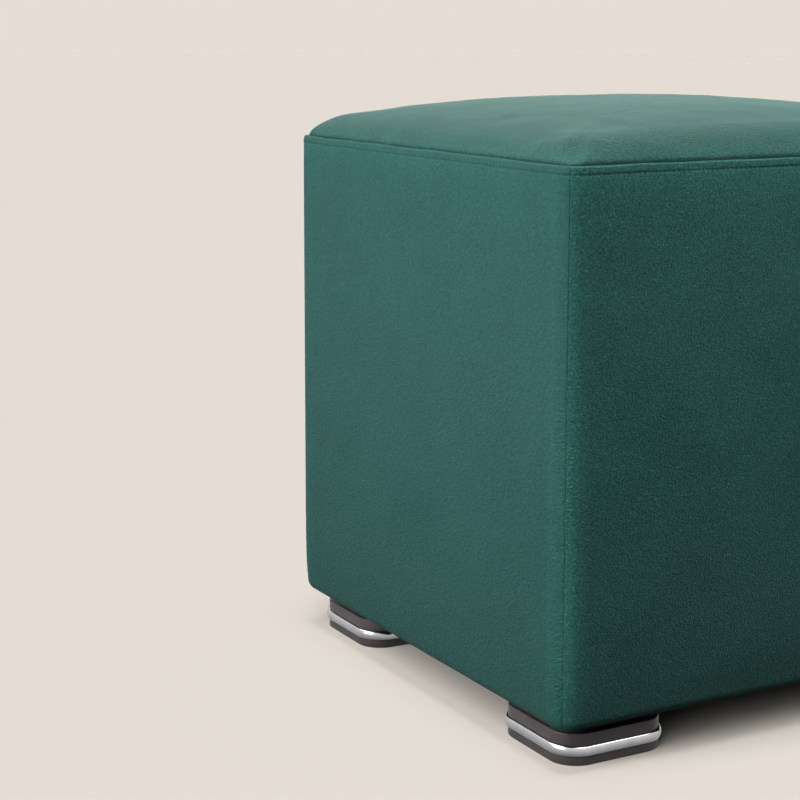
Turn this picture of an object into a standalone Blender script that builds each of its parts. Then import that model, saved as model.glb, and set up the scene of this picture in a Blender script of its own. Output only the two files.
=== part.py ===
# Cube pouf stool.
#
# A sewn cover of five padded panels: a crowned top pad set into a topstitched seam, and four
# side panels that meet in a plain seam at each vertical corner. A base panel closes the
# underside and carries four low square feet, each a plastic block, a chrome band and a glide.
#
# Metres, +Z up. The origin is on the floor under the middle of the body, and the front is -Y.

import math

import bmesh
import bpy

# Body
BODY_WIDTH = 0.420              # over the middle of two opposite side panels
PANEL_CROWN = 0.0012            # how far the middle of a side panel swells past its seams
PANEL_THICKNESS = 0.025         # cloth, padding and board together
CORNER_RADIUS = 0.016           # of the vertical corners, seen from above
CLOTH_BOTTOM_Z = 0.0318         # underside of the cloth above the floor
BOTTOM_EDGE_RADIUS = 0.010      # where the cloth turns under
CLEARANCE = 0.0003              # between neighbouring pieces

# Vertical corner seams
SEAM_DIP = 0.0009               # how deep the seam pulls the corner in
SEAM_HALF_ANGLE = math.radians(4.0)

# Topstitched seam round the top: a folded band between an upper groove and a line of stitches
STITCH_Z = 0.4272
STITCH_DEPTH = 0.0010
STITCH_HALF_WIDTH = 0.0010
BAND_HEIGHT = 0.0062
BAND_PROUD = 0.0005
BAND_ROUNDING = 0.0032
BAND_LEDGE = 0.0048             # from the side's face to the groove behind the band
GROOVE_DROP = 0.0012            # the ledge falls away this much towards the groove

# Top pad
PAD_SEAT_Z = 0.4150             # shelf of the side panels that the pad lies on
PAD_RIM_Z = 0.4334              # where the pad comes out of the groove
PAD_EDGE_ROUNDING = 0.0018
SHOULDER_HEIGHT = 0.0161        # steep rounded rise next to the seam
SHOULDER_RUN = 0.035
SHOULDER_POWER = 2.05
DOME_HEIGHT = 0.0198            # gentle swell of the whole pad over the shoulder
DOME_POWER = 2.6
RIM_BLEND_POWER = 12            # keeps the rim level round the rounded corners

# Base panel
BASE_THICKNESS = 0.018
BASE_CORNER_BEVEL = 0.002

# Feet
FOOT_WIDTH = 0.092
FOOT_CORNER_RADIUS = 0.021
FOOT_INSET = 0.0142             # from the body's side to the foot's side
GLIDE_HEIGHT = 0.0066
GLIDE_EDGE = 0.0009
BAND_CHROME_HEIGHT = 0.0080
BAND_CHROME_BULGE = 0.0022      # how far the chrome stands out past the plastic
SPIGOT_INSET = 0.0030           # the block's stem inside the chrome band
BLOCK_HEIGHT = 0.0082
BLOCK_BEVEL = 0.0008
NECK_INSET = 0.0120             # from the block's side in to its neck

# Mesh fineness
SHARP_ANGLE = math.radians(35)
CORNER_STEPS = 5                # spans of one half corner of a side panel
SIDE_SPANS = 6                  # spans along the straight stretch of a panel or a pad edge
HEIGHT_SPANS = 6
EDGE_STEPS = 4
ROUND_STEPS = 3
PAD_CORNER_STEPS = 6
FOOT_CORNER_STEPS = 6
BULGE_STEPS = 6
PAD_RINGS = (1.0, 0.997, 0.990, 0.975, 0.950, 0.915, 0.870, 0.810, 0.700, 0.550, 0.380, 0.190)

HALF = BODY_WIDTH / 2
CORNER_HALF = HALF - PANEL_CROWN
BAND_TOP_Z = STITCH_Z + BAND_HEIGHT
PAD_HALF = CORNER_HALF - BAND_LEDGE - CLEARANCE
PAD_CORNER_RADIUS = CORNER_RADIUS - BAND_LEDGE - CLEARANCE
FOOT_CENTRE = CORNER_HALF - FOOT_INSET - FOOT_WIDTH / 2

# name, turn about Z of the front panel
SIDES = (("front", 0), ("right", 90), ("back", 180), ("left", 270))
# name, side of X, side of Y
FEET = (("front_left", -1, -1), ("front_right", 1, -1), ("back_right", 1, 1), ("back_left", -1, 1))


def clear_scene():
    for item in list(bpy.data.objects):
        bpy.data.objects.remove(item, do_unlink=True)


def make_material(name, colour, roughness, metallic=0.0):
    material = bpy.data.materials.new(name)
    material.use_nodes = True
    shader = material.node_tree.nodes["Principled BSDF"]
    shader.inputs["Base Color"].default_value = (*colour, 1.0)
    shader.inputs["Roughness"].default_value = roughness
    shader.inputs["Metallic"].default_value = metallic
    return material


def add_piece(name, bm, material, parent, collection):
    """Puts a finished bmesh into the collection as one smooth-shaded object."""
    bmesh.ops.recalc_face_normals(bm, faces=bm.faces)
    mesh = bpy.data.meshes.new(name)
    bm.to_mesh(mesh)
    bm.free()
    mesh.shade_smooth()
    mesh.set_sharp_from_angle(angle=SHARP_ANGLE)
    mesh.materials.append(material)
    piece = bpy.data.objects.new(name, mesh)
    collection.objects.link(piece)
    piece.parent = parent
    return piece


def add_place(name, location, parent, collection):
    """An empty that a group of pieces hangs on."""
    place = bpy.data.objects.new(name, None)
    place.empty_display_size = 0.05
    place.location = location
    place.parent = parent
    collection.objects.link(place)
    return place


def rounded_square(half, radius, corner_steps, side_spans=1):
    """Outline points of a square with arc corners, anticlockwise from the front right corner."""
    straight = half - radius
    points = []
    for corner in range(4):
        start = -math.pi / 2 + corner * math.pi / 2
        middle = start + math.pi / 4
        centre_x = math.copysign(straight, math.cos(middle))
        centre_y = math.copysign(straight, math.sin(middle))
        for step in range(corner_steps + 1):
            angle = start + step * math.pi / 2 / corner_steps
            points.append((centre_x + radius * math.cos(angle), centre_y + radius * math.sin(angle)))
        end_x, end_y = points[-1]
        along = start + math.pi
        for span in range(1, side_spans):
            run = 2 * straight * span / side_spans
            points.append((end_x + run * math.cos(along), end_y + run * math.sin(along)))
    return points


def loft(rows, closed=False, row_is_loop=True, pole=None):
    """Skins a list of equally long rows of points and closes both ends, or joins them."""
    bm = bmesh.new()
    grid = [[bm.verts.new(point) for point in row] for row in rows]
    count = len(grid[0])
    spans = count if row_is_loop else count - 1
    pairs = list(zip(grid, grid[1:]))
    if closed:
        pairs.append((grid[-1], grid[0]))
    for lower, upper in pairs:
        for i in range(spans):
            j = (i + 1) % count
            bm.faces.new((lower[i], lower[j], upper[j], upper[i]))
    if not closed:
        bm.faces.new(grid[0])
        if pole is None:
            bm.faces.new(grid[-1])
        else:
            tip = bm.verts.new(pole)
            for i in range(spans):
                bm.faces.new((grid[-1][i], grid[-1][(i + 1) % count], tip))
    return bm


def swell(across, up):
    """Crown of a side panel, 1 in the middle and 0 at its seams; both run from -1 to 1."""
    return (1 - across ** 4) * (1 - up ** 4)


def panel_profile():
    """Section of a side panel as (depth from the corner line, height, place up the face).

    It runs up the outside, over the topstitched band, across the shelf and down the inside.
    The place up the face is None wherever the padding doesn't swell.
    """
    low = CLOTH_BOTTOM_Z + BOTTOM_EDGE_RADIUS
    high = STITCH_Z - STITCH_HALF_WIDTH
    points = []
    for step in range(EDGE_STEPS):
        turn = math.pi / 2 * step / EDGE_STEPS
        depth = BOTTOM_EDGE_RADIUS * (1 - math.sin(turn))
        points.append((depth, CLOTH_BOTTOM_Z + BOTTOM_EDGE_RADIUS * (1 - math.cos(turn)), None))
    for span in range(HEIGHT_SPANS + 1):
        up = 2 * span / HEIGHT_SPANS - 1
        points.append((0.0, low + (high - low) * span / HEIGHT_SPANS, up))
    points.append((STITCH_DEPTH, STITCH_Z, None))
    points.append((-BAND_PROUD, STITCH_Z + STITCH_HALF_WIDTH, None))
    for step in range(ROUND_STEPS + 1):
        turn = math.pi / 2 * step / ROUND_STEPS
        depth = BAND_ROUNDING * (1 - math.cos(turn)) - BAND_PROUD
        points.append((depth, BAND_TOP_Z - BAND_ROUNDING * (1 - math.sin(turn)), None))
    points.append((BAND_LEDGE, BAND_TOP_Z - GROOVE_DROP, None))
    points.append((BAND_LEDGE, PAD_SEAT_Z, None))
    points.append((PANEL_THICKNESS, PAD_SEAT_Z, None))
    points.append((PANEL_THICKNESS, CLOTH_BOTTOM_Z, None))
    return points


def panel_stations():
    """Places across a side panel as (place from -1 to 1, turn of the corner arc, seam dip)."""
    half_corner = math.pi / 4
    arc = [(half_corner, SEAM_DIP)]
    for step in range(CORNER_STEPS):
        arc.append(((half_corner - SEAM_HALF_ANGLE) * (1 - step / (CORNER_STEPS - 1)), 0.0))
    left = [(-1.0, -turn, dip) for turn, dip in arc]
    straight = [(2 * span / SIDE_SPANS - 1, 0.0, 0.0) for span in range(1, SIDE_SPANS)]
    right = [(1.0, turn, dip) for turn, dip in reversed(arc)]
    return left + straight + right


def side_panel():
    """One padded side, facing -Y, from mitre to mitre with half a clearance at each end."""
    straight = CORNER_HALF - CORNER_RADIUS
    inner_half = CORNER_HALF - PANEL_THICKNESS
    mitre_gap = CLEARANCE / 2 * math.sqrt(2)
    stations = panel_stations()
    rows = []
    for index, (across, turn, dip) in enumerate(stations):
        row = []
        at_mitre = index in (0, len(stations) - 1)
        inner_x = inner_half * (2 * index / (len(stations) - 1) - 1)
        shift = -math.copysign(mitre_gap, across) if at_mitre else 0.0
        for depth, z, up in panel_profile():
            if depth == PANEL_THICKNESS:
                row.append((inner_x + shift, -inner_half, z))
                continue
            radius = CORNER_RADIUS - depth
            if depth < BAND_LEDGE:
                radius -= dip
            if up is not None:
                radius += PANEL_CROWN * swell(across, up)
            x = across * straight + radius * math.sin(turn)
            row.append((x + shift, -straight - radius * math.cos(turn), z))
        rows.append(row)
    return loft(rows)


def shoulder(distance):
    """Rounded rise from 0 at the pad's edge to 1 at the end of the shoulder."""
    left_over = 1 - min(max(distance / SHOULDER_RUN, 0.0), 1.0)
    return (1 - left_over ** SHOULDER_POWER) ** (1 / SHOULDER_POWER)


def crown(x, y):
    """Height of the pad over its rim, from the shoulders of both pairs of sides and the dome."""
    u = min(abs(x) / PAD_HALF, 1.0)
    v = min(abs(y) / PAD_HALF, 1.0)
    rise = SHOULDER_HEIGHT * shoulder(PAD_HALF - abs(x)) * shoulder(PAD_HALF - abs(y))
    return rise + DOME_HEIGHT * (1 - u ** DOME_POWER) * (1 - v ** DOME_POWER)


def top_pad():
    """Crowned top: rings of its rounded square outline, lifted to the crown's height."""
    bottom_z = PAD_SEAT_Z + CLEARANCE
    rim = rounded_square(PAD_HALF, PAD_CORNER_RADIUS, PAD_CORNER_STEPS, SIDE_SPANS)
    foot = rounded_square(
        PAD_HALF - PAD_EDGE_ROUNDING, PAD_CORNER_RADIUS - PAD_EDGE_ROUNDING, PAD_CORNER_STEPS, SIDE_SPANS
    )
    rows = [[(x, y, bottom_z) for x, y in foot]]
    rows.append([(x, y, bottom_z + PAD_EDGE_ROUNDING) for x, y in rim])
    for ring in PAD_RINGS:
        row = []
        for x, y in rim:
            level = crown(ring * x, ring * y) - crown(x, y) * ring ** RIM_BLEND_POWER
            row.append((ring * x, ring * y, PAD_RIM_Z + level))
        rows.append(row)
    return loft(rows, pole=(0, 0, PAD_RIM_Z + crown(0, 0)))


def base_panel():
    """Flat board inside the lower edge of the side panels."""
    width = 2 * (CORNER_HALF - PANEL_THICKNESS - CLEARANCE)
    bm = bmesh.new()
    bmesh.ops.create_cube(bm, size=1.0)
    bmesh.ops.scale(bm, vec=(width, width, BASE_THICKNESS), verts=bm.verts)
    bmesh.ops.translate(bm, vec=(0, 0, CLOTH_BOTTOM_Z + BASE_THICKNESS / 2), verts=bm.verts)
    upright = [e for e in bm.edges if abs(e.verts[0].co.z - e.verts[1].co.z) > BASE_THICKNESS / 2]
    bmesh.ops.bevel(bm, geom=upright, offset=BASE_CORNER_BEVEL, segments=2, profile=0.5, affect="EDGES")
    return bm


def foot_layers(layers, closed=False):
    """Lofts rounded squares given as (height, distance outside the foot's side)."""
    rows = []
    for z, outside in layers:
        outline = rounded_square(
            FOOT_WIDTH / 2 + outside, FOOT_CORNER_RADIUS + outside, FOOT_CORNER_STEPS
        )
        rows.append([(x, y, z) for x, y in outline])
    return loft(rows, closed=closed)


def foot_glide():
    """Plate on the floor, its lower edge softened."""
    return foot_layers(((0.0, -GLIDE_EDGE), (GLIDE_EDGE, 0.0), (GLIDE_HEIGHT, 0.0)))


def foot_band():
    """Chrome ring round the foot's waist, half round outside."""
    low = GLIDE_HEIGHT + CLEARANCE
    middle = low + BAND_CHROME_HEIGHT / 2
    inside = CLEARANCE - SPIGOT_INSET
    layers = [(low, inside)]
    for step in range(BULGE_STEPS + 1):
        turn = math.pi * step / BULGE_STEPS - math.pi / 2
        z = middle + BAND_CHROME_HEIGHT / 2 * math.sin(turn)
        layers.append((z, BAND_CHROME_BULGE * math.cos(turn)))
    layers.append((low + BAND_CHROME_HEIGHT, inside))
    return foot_layers(layers, closed=True)


def foot_block():
    """Block over the band, with its stem down through the band and a neck up to the base."""
    stem_z = GLIDE_HEIGHT + CLEARANCE
    block_z = stem_z + BAND_CHROME_HEIGHT + CLEARANCE
    edge_z = block_z + BLOCK_HEIGHT
    neck_z = CLOTH_BOTTOM_Z - CLEARANCE
    return foot_layers(
        (
            (stem_z, -SPIGOT_INSET),
            (block_z, -SPIGOT_INSET),
            (block_z, 0.0),
            (edge_z, 0.0),
            (edge_z + BLOCK_BEVEL, -BLOCK_BEVEL),
            (edge_z + BLOCK_BEVEL, -NECK_INSET),
            (neck_z, -NECK_INSET),
        )
    )


def build():
    clear_scene()
    parts = bpy.data.collections.new("cube_pouf_stool")
    bpy.context.scene.collection.children.link(parts)

    top_cloth = make_material("top_cloth", (0.075, 0.150, 0.135), 0.90)
    side_cloth = make_material("side_cloth", (0.040, 0.105, 0.095), 0.92)
    base_cloth = make_material("base_cloth", (0.020, 0.021, 0.022), 0.95)
    plastic = make_material("foot_plastic", (0.105, 0.090, 0.092), 0.45)
    chrome = make_material("foot_chrome", (0.780, 0.780, 0.790), 0.12, metallic=1.0)

    body = add_place("pouf_place", (0, 0, 0), None, parts)
    add_piece("top_pad", top_pad(), top_cloth, body, parts)
    for side, turn in SIDES:
        panel = add_piece("side_panel_" + side, side_panel(), side_cloth, body, parts)
        panel.rotation_euler = (0, 0, math.radians(turn))
    add_piece("base_panel", base_panel(), base_cloth, body, parts)

    for corner, side_x, side_y in FEET:
        name = "foot_" + corner
        spot = (side_x * FOOT_CENTRE, side_y * FOOT_CENTRE, 0)
        place = add_place(name + "_place", spot, body, parts)
        add_piece(name + "_block", foot_block(), plastic, place, parts)
        add_piece(name + "_band", foot_band(), chrome, place, parts)
        add_piece(name + "_glide", foot_glide(), plastic, place, parts)


build()
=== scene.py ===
import math

import bpy
import numpy as np
from mathutils import Matrix, Vector


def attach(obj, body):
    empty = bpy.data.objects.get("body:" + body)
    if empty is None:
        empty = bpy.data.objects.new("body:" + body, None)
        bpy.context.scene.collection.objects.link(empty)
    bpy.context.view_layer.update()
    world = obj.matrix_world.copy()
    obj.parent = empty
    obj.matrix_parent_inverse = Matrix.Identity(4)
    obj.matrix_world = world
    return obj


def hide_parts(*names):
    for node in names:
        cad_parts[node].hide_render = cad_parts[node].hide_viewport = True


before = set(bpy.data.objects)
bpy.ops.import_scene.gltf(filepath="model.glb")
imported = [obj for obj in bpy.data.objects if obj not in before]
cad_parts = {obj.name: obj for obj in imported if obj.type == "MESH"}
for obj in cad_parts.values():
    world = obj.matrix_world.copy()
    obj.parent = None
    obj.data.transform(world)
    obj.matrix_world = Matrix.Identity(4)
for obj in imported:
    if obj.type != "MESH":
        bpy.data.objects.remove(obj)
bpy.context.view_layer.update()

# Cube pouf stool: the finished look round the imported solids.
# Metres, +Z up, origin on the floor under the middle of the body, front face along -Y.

scene = bpy.context.scene
degree = math.pi / 180

body = {
    "cornerHalf": 0.2088,        # middle of the body to the face at its seams
    "cornerRadius": 0.016,       # vertical corners, seen from above
    "clothBottom": 0.0304,       # underside of the cloth above the floor
    "baseBottom": 0.0318,        # underside of the base panel, a little up inside the cloth
    "clearance": 0.0003,         # gap between neighbouring pieces
    "stitchHeight": 0.4263,      # line of topstitching round the sides
    "stitchesPerSide": 92,       # along the straight stretch of one side
    "stitchesPerCorner": 6,
    "bandHeight": 0.0062,        # folded band over the stitches
    "bandLedge": 0.0038,         # from the side's face to the groove behind the band
}
straightHalf = body["cornerHalf"] - body["cornerRadius"]
stitchPitch = 2 * straightHalf / body["stitchesPerSide"]
bandTop = body["stitchHeight"] + body["bandHeight"]


def softRamp(x):
    # 0 below 0, 1 above 1, 3x^2 - 2x^3 between
    x = np.clip(x, 0, 1)
    return x * x * (3 - 2 * x)


def bellWeights(places, knots, width):
    # Gaussian bell of each knot at each place, one row a place
    return np.exp(-0.5 * ((np.asarray(places)[..., None] - knots) / width) ** 2)


def wander(places, period, seed):
    # random smooth line: seeded values on knots a period apart, joined by Gaussian bells, spread about 1
    knots = np.arange(places.min() - 3 * period, places.max() + 3 * period, period)
    values = np.random.default_rng(seed).standard_normal(len(knots))
    weights = bellWeights(places, knots, 0.6 * period)
    return (weights * values).sum(-1) / np.sqrt((weights ** 2).sum(-1))


def softField(x, y, period, seed):
    # smooth random field at arrays x, y: seeded values on a square lattice, joined by Gaussian bells
    knotsX = np.arange(x.min() - 3 * period, x.max() + 3 * period, period)
    knotsY = np.arange(y.min() - 3 * period, y.max() + 3 * period, period)
    values = np.random.default_rng(seed).standard_normal((len(knotsX), len(knotsY)))
    weightsX = bellWeights(x.reshape(-1), knotsX, 0.6 * period)
    weightsY = bellWeights(y.reshape(-1), knotsY, 0.6 * period)
    total = ((weightsX @ values) * weightsY).sum(-1)
    spread = np.sqrt((weightsX ** 2).sum(-1) * (weightsY ** 2).sum(-1))
    return (total / spread).reshape(x.shape)


def readGrid(values, knotsX, knotsY, x, y):
    # value at arrays x, y of a coarse grid, as the mean of its knots under Gaussian bells
    weightsX = bellWeights(x.reshape(-1), knotsX, 0.75 * (knotsX[1] - knotsX[0]))
    weightsY = bellWeights(y.reshape(-1), knotsY, 0.75 * (knotsY[1] - knotsY[0]))
    total = ((weightsX @ values) * weightsY).sum(-1)
    return (total / (weightsX.sum(-1) * weightsY.sum(-1))).reshape(x.shape)


def turnAboutUp(points, angle):
    # rotation about Z of an array of points
    c, s = math.cos(angle), math.sin(angle)
    x, y, z = points[..., 0], points[..., 1], points[..., 2]
    return np.stack([c * x - s * y, s * x + c * y, z], -1)


def gridQuads(rows, cols, loopRows=False, loopCols=True):
    # one quad between each four neighbours; a loop joins the last row or column to the first
    r = np.arange(rows if loopRows else rows - 1)[:, None]
    c = np.arange(cols if loopCols else cols - 1)[None, :]
    nextRow, nextCol = (r + 1) % rows, (c + 1) % cols
    quads = [r * cols + c, r * cols + nextCol, nextRow * cols + nextCol, nextRow * cols + c]
    return np.stack(quads, -1).reshape(-1, 4)


def gridMesh(name, points, loopRows=False, loopCols=True, caps="", extras=None):
    # mesh of rows x columns of points; caps close its ends: "n" with one face, "p" with a middle point
    rows, cols = points.shape[:2]
    faces = gridQuads(rows, cols, loopRows, loopCols).tolist()
    co = points.reshape(-1, 3)
    first = np.arange(cols)[::-1]
    last = np.arange(cols) + (rows - 1) * cols
    if caps == "n":
        faces += [first.tolist(), last.tolist()]
    if caps == "p":
        for ring in (first, last):
            middle = len(co)
            co = np.vstack([co, co[ring].mean(0)])
            faces += np.stack([ring, np.roll(ring, -1), np.full(cols, middle)], -1).tolist()
    mesh = bpy.data.meshes.new(name)
    mesh.from_pydata(co.tolist(), [], faces)
    mesh.validate()
    for key, values in (extras or {}).items():
        values = np.asarray(values, np.float32)
        flat = values.reshape(-1, 3) if values.ndim == 3 else values.reshape(-1)
        padded = np.zeros((len(co),) + flat.shape[1:], np.float32)
        padded[:len(flat)] = flat
        padded[len(flat):] = flat[-1]
        kind, field = ("FLOAT_VECTOR", "vector") if values.ndim == 3 else ("FLOAT", "value")
        mesh.attributes.new(key, kind, "POINT").data.foreach_set(field, padded.reshape(-1))
    mesh.shade_smooth()
    return mesh


def addObject(name, data):
    # new object of a mesh, lamp or camera in the scene
    item = bpy.data.objects.new(name, data)
    scene.collection.objects.link(item)
    return item


def showPiece(name, mesh, material, replaced=(), sharp=None):
    # puts a finished mesh in the scene as a piece that rides on the body
    if sharp:
        mesh.set_sharp_from_angle(angle=sharp)
    piece = addObject(name, mesh)
    mesh.materials.append(material)
    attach(piece, "root")
    if replaced:
        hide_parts(*replaced)
    return piece


def hexToLinear(code):
    # sRGB hex colour to linear light
    channels = [int(code[i:i + 2], 16) / 255 for i in (1, 3, 5)]
    linear = [c / 12.92 if c <= 0.04045 else ((c + 0.055) / 1.055) ** 2.4 for c in channels]
    return (*linear, 1.0)


def addNode(material, kind, inputs=None, out=0, **settings):
    # one node with its settings; an input takes a value or a socket, and out picks the output given
    tree = material.node_tree
    node = tree.nodes.new("ShaderNode" + kind)
    for key, value in settings.items():
        setattr(node, key, value)
    for key, value in (inputs or {}).items():
        if isinstance(value, bpy.types.NodeSocket):
            tree.links.new(value, node.inputs[key])
        else:
            node.inputs[key].default_value = value
    return node.outputs[out] if node.outputs else None


def newMaterial(name, **shaderInputs):
    # empty material with a Principled shader, whose constant inputs are set on its own sockets
    material = bpy.data.materials.new(name)
    material.use_nodes = True
    material.node_tree.nodes.clear()
    surface = addNode(material, "BsdfPrincipled", shaderInputs)
    addNode(material, "OutputMaterial", {"Surface": surface})
    return material, surface.node


def feedShader(material, shader, sockets):
    # links the shader's inputs by name
    for key, socket in sockets.items():
        material.node_tree.links.new(socket, shader.inputs[key])
    return material


def toned(material, noise, span, low, high):
    # colour between two hex colours, by where the noise lies in its span; a Mix node in colour mode
    # has its factor at socket 0, its colours at 6 and 7 and its result at 2
    share = addNode(material, "MapRange", {"Value": noise, "From Min": span[0], "From Max": span[1]})
    inputs = {0: share, 6: hexToLinear(low), 7: hexToLinear(high)}
    return addNode(material, "Mix", inputs, out=2, data_type="RGBA")


def microfibre(name, look):
    # Polyester microfibre, needled and brushed to a short felted nap: matt, with a pale bloom where
    # the nap is seen edge on, a soft mottle, patches where it lies another way and a few pale fibres.
    # The nap attribute deepens the bump, and above 1 darkens the colour as painted shade; the paling
    # attribute makes it paler, by a gain on red, green and blue, as painted light and some wear, and
    # ruffles the bump.
    material, shader = newMaterial(name, **{
        "Roughness": look["roughness"], "IOR": 1.5, "Specular IOR Level": look["specular"],
        "Sheen Weight": look["sheen"], "Sheen Roughness": look["sheenRoughness"],
        "Sheen Tint": hexToLinear(look["sheenColour"])})
    coord = addNode(material, "Attribute", out="Vector", attribute_name="clothCoord")
    wearAndPaintedLight = addNode(material, "Attribute", out="Fac", attribute_name="wearAndPaintedLight")
    napAndPaintedShade = addNode(material, "Attribute", out="Fac", attribute_name="napAndPaintedShade")
    nap = addNode(material, "Mapping", {"Vector": coord, "Scale": look["napStretch"]})
    clumps = addNode(material, "TexNoise", {
        "Vector": nap, "Scale": 1 / look["clumpSize"], "Detail": 2.0, "Roughness": 0.6})
    fibres = addNode(material, "TexNoise", {
        "Vector": nap, "Scale": 1 / look["fibreSize"], "Detail": 1.0, "Roughness": 0.6})
    brushed = addNode(material, "Mapping", {
        "Vector": coord, "Rotation": (0, 0, look["layTurn"]), "Scale": look["layStretch"]})
    lay = addNode(material, "TexNoise", {
        "Vector": brushed, "Scale": 1 / look["laySize"], "Detail": 2.0, "Roughness": 0.5})
    loose = addNode(material, "TexNoise", {
        "Vector": coord, "Scale": 1 / look["looseSize"], "Detail": 0.0})
    mottle = toned(material, clumps, (0.33, 0.67), look["dark"], look["light"])
    laid = toned(material, lay, (0.35, 0.65), look["laidDark"], look["laidLight"])
    colour = addNode(material, "Mix", {0: look["layShare"], 6: mottle, 7: laid}, out=2, data_type="RGBA")
    specks = addNode(material, "MapRange", {
        "Value": loose, "From Min": look["looseFrom"], "From Max": look["looseFrom"] + 0.08,
        "To Max": look["looseShare"]})
    colour = addNode(material, "Mix", {
        0: specks, 6: colour, 7: hexToLinear(look["loose"])}, out=2, data_type="RGBA")
    # painted shade: the colour darkens towards the deep colour where the nap mask is above 1
    shaded = addNode(material, "MapRange", {
        "Value": napAndPaintedShade, "From Min": 1.0, "From Max": 1.9, "To Max": look["paintedShadeShare"]})
    colour = addNode(material, "Mix", {
        0: shaded, 6: colour, 7: hexToLinear(look["deep"])}, out=2, data_type="RGBA")
    # painted light and wear: the colour is made paler by the gain where the paling mask is high
    wornAndLit = addNode(material, "Math", {0: wearAndPaintedLight, 1: look["wearAndLightShare"]}, operation="MULTIPLY")
    colour = addNode(material, "Mix", {
        0: wornAndLit, 6: colour, 7: (*look["wearAndLightGain"], 1)}, out=2, data_type="RGBA", blend_type="MULTIPLY")
    ruffled = addNode(material, "Math", {
        0: wearAndPaintedLight, 1: look["ruffle"], 2: napAndPaintedShade}, operation="MULTIPLY_ADD")
    clumpDepth, fibreDepth = (addNode(material, "Math", {
        0: ruffled, 1: look[key]}, operation="MULTIPLY") for key in ("clumpDepth", "fibreDepth"))
    coarse = addNode(material, "Bump", {"Strength": 1.0, "Distance": clumpDepth, "Height": clumps})
    fine = addNode(material, "Bump", {
        "Strength": 1.0, "Distance": fibreDepth, "Height": fibres, "Normal": coarse})
    return feedShader(material, shader, {"Base Color": colour, "Normal": fine})


sideLook = {
    "roughness": 0.92, "specular": 0.20,
    "sheen": 0.10, "sheenRoughness": 0.45, "sheenColour": "#dfe6e0",
    "dark": "#295551", "light": "#376964",
    "laidDark": "#2d5a57", "laidLight": "#33635e", "layShare": 0.35,
    "clumpSize": 0.0021,         # tufts of the brushed nap
    "fibreSize": 0.0010,         # single fibres are 0.02 mm, drawn as coarse as they need to show
    "laySize": 0.060, "layStretch": (1, 1, 1), "layTurn": 0,     # patches where the nap lies another way
    "looseSize": 0.0016, "looseFrom": 0.74, "looseShare": 0.25, "loose": "#5a958a",
    "napStretch": (0.75, 1.0, 1.0),
    "wearAndLightGain": (2.0, 2.1, 2.0), "wearAndLightShare": 0.38,                # how much paler painted light and wear make the nap
    "ruffle": 0.6,               # how much rougher it is there
    "deep": "#1d554c", "paintedShadeShare": 0.40,    # painted shade colour, reached where the nap mask is highest
    "clumpDepth": 0.0009, "fibreDepth": 0.0003,
}
# the nap of the front and back panels is brushed up and rougher, and their colour is darker as painted
# shade; the top is brushed one way, its groove is painted dark as shade and its shoulders paler as painted
# light
frontShadedLook = dict(sideLook, dark="#1e4843", light="#366e67", laidDark="#26544f", laidLight="#326761",
                 layShare=0.25, clumpSize=0.0016, fibreDepth=0.0008, napStretch=(1, 1, 1),
                 looseFrom=0.73, wearAndLightShare=1.0, paintedShadeShare=0.0)
topLook = dict(sideLook, dark="#23453f", light="#395f59", laidDark="#294a45", laidLight="#355c56",
               layStretch=(1.0, 5.0, 1.0), layTurn=35 * degree, layShare=0.28,
               sheen=0.63, sheenRoughness=0.30, sheenColour="#c0e9e0", clumpSize=0.0016,
               clumpDepth=0.00035, fibreDepth=0.0004, looseShare=0.15,
               wearAndLightGain=(2.6, 2.75, 2.75), wearAndLightShare=0.50, deep="#11302b", paintedShadeShare=0.80)
threadLook = dict(sideLook, dark="#2a5651", light="#3b6d66", clumpSize=0.0006, fibreSize=0.0004,
                  clumpDepth=0.0001, fibreDepth=0.0001)


def chromePlate(look):
    # Chrome plate on a zinc casting, buffed: a mirror with faint haze and hair-fine lines along it.
    material, shader = newMaterial("polished chrome plate", **{"Metallic": 1.0})
    place = addNode(material, "TexCoord", out="Object")
    stretched = addNode(material, "Mapping", {"Vector": place, "Scale": look["buffStretch"]})
    buffing = addNode(material, "TexNoise", {
        "Vector": stretched, "Scale": 1 / look["buffSize"], "Detail": 3.0})
    haze = addNode(material, "TexNoise", {"Vector": place, "Scale": 1 / look["hazeSize"], "Detail": 4.0})
    tone = toned(material, haze, (0.3, 0.7), look["dull"], look["bright"])
    low, high = look["roughness"]
    rough = addNode(material, "MapRange", {
        "Value": haze, "From Min": 0.3, "From Max": 0.7, "To Min": low, "To Max": high})
    bump = addNode(material, "Bump", {"Strength": 1.0, "Distance": look["buffDepth"], "Height": buffing})
    return feedShader(material, shader, {"Base Color": tone, "Roughness": rough, "Normal": bump})


def mouldedPlastic(name, look):
    # Plastic moulded in a spark-eroded tool: satin, with a 0.5 mm grain and faint rubbing on it.
    material, shader = newMaterial(name, **{"IOR": look["ior"], "Specular IOR Level": 0.5})
    place = addNode(material, "TexCoord", out="Object")
    grain = addNode(material, "TexNoise", {
        "Vector": place, "Scale": 1 / look["grainSize"], "Detail": 3.0})
    rubs = addNode(material, "TexNoise", {"Vector": place, "Scale": 1 / look["rubSize"], "Detail": 4.0})
    tone = toned(material, rubs, (0.35, 0.65), look["dark"], look["light"])
    low, high = look["roughness"]
    rough = addNode(material, "MapRange", {
        "Value": rubs, "From Min": 0.3, "From Max": 0.7, "To Min": low, "To Max": high})
    bump = addNode(material, "Bump", {"Strength": 1.0, "Distance": look["grainDepth"], "Height": grain})
    return feedShader(material, shader, {"Base Color": tone, "Roughness": rough, "Normal": bump})


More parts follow.
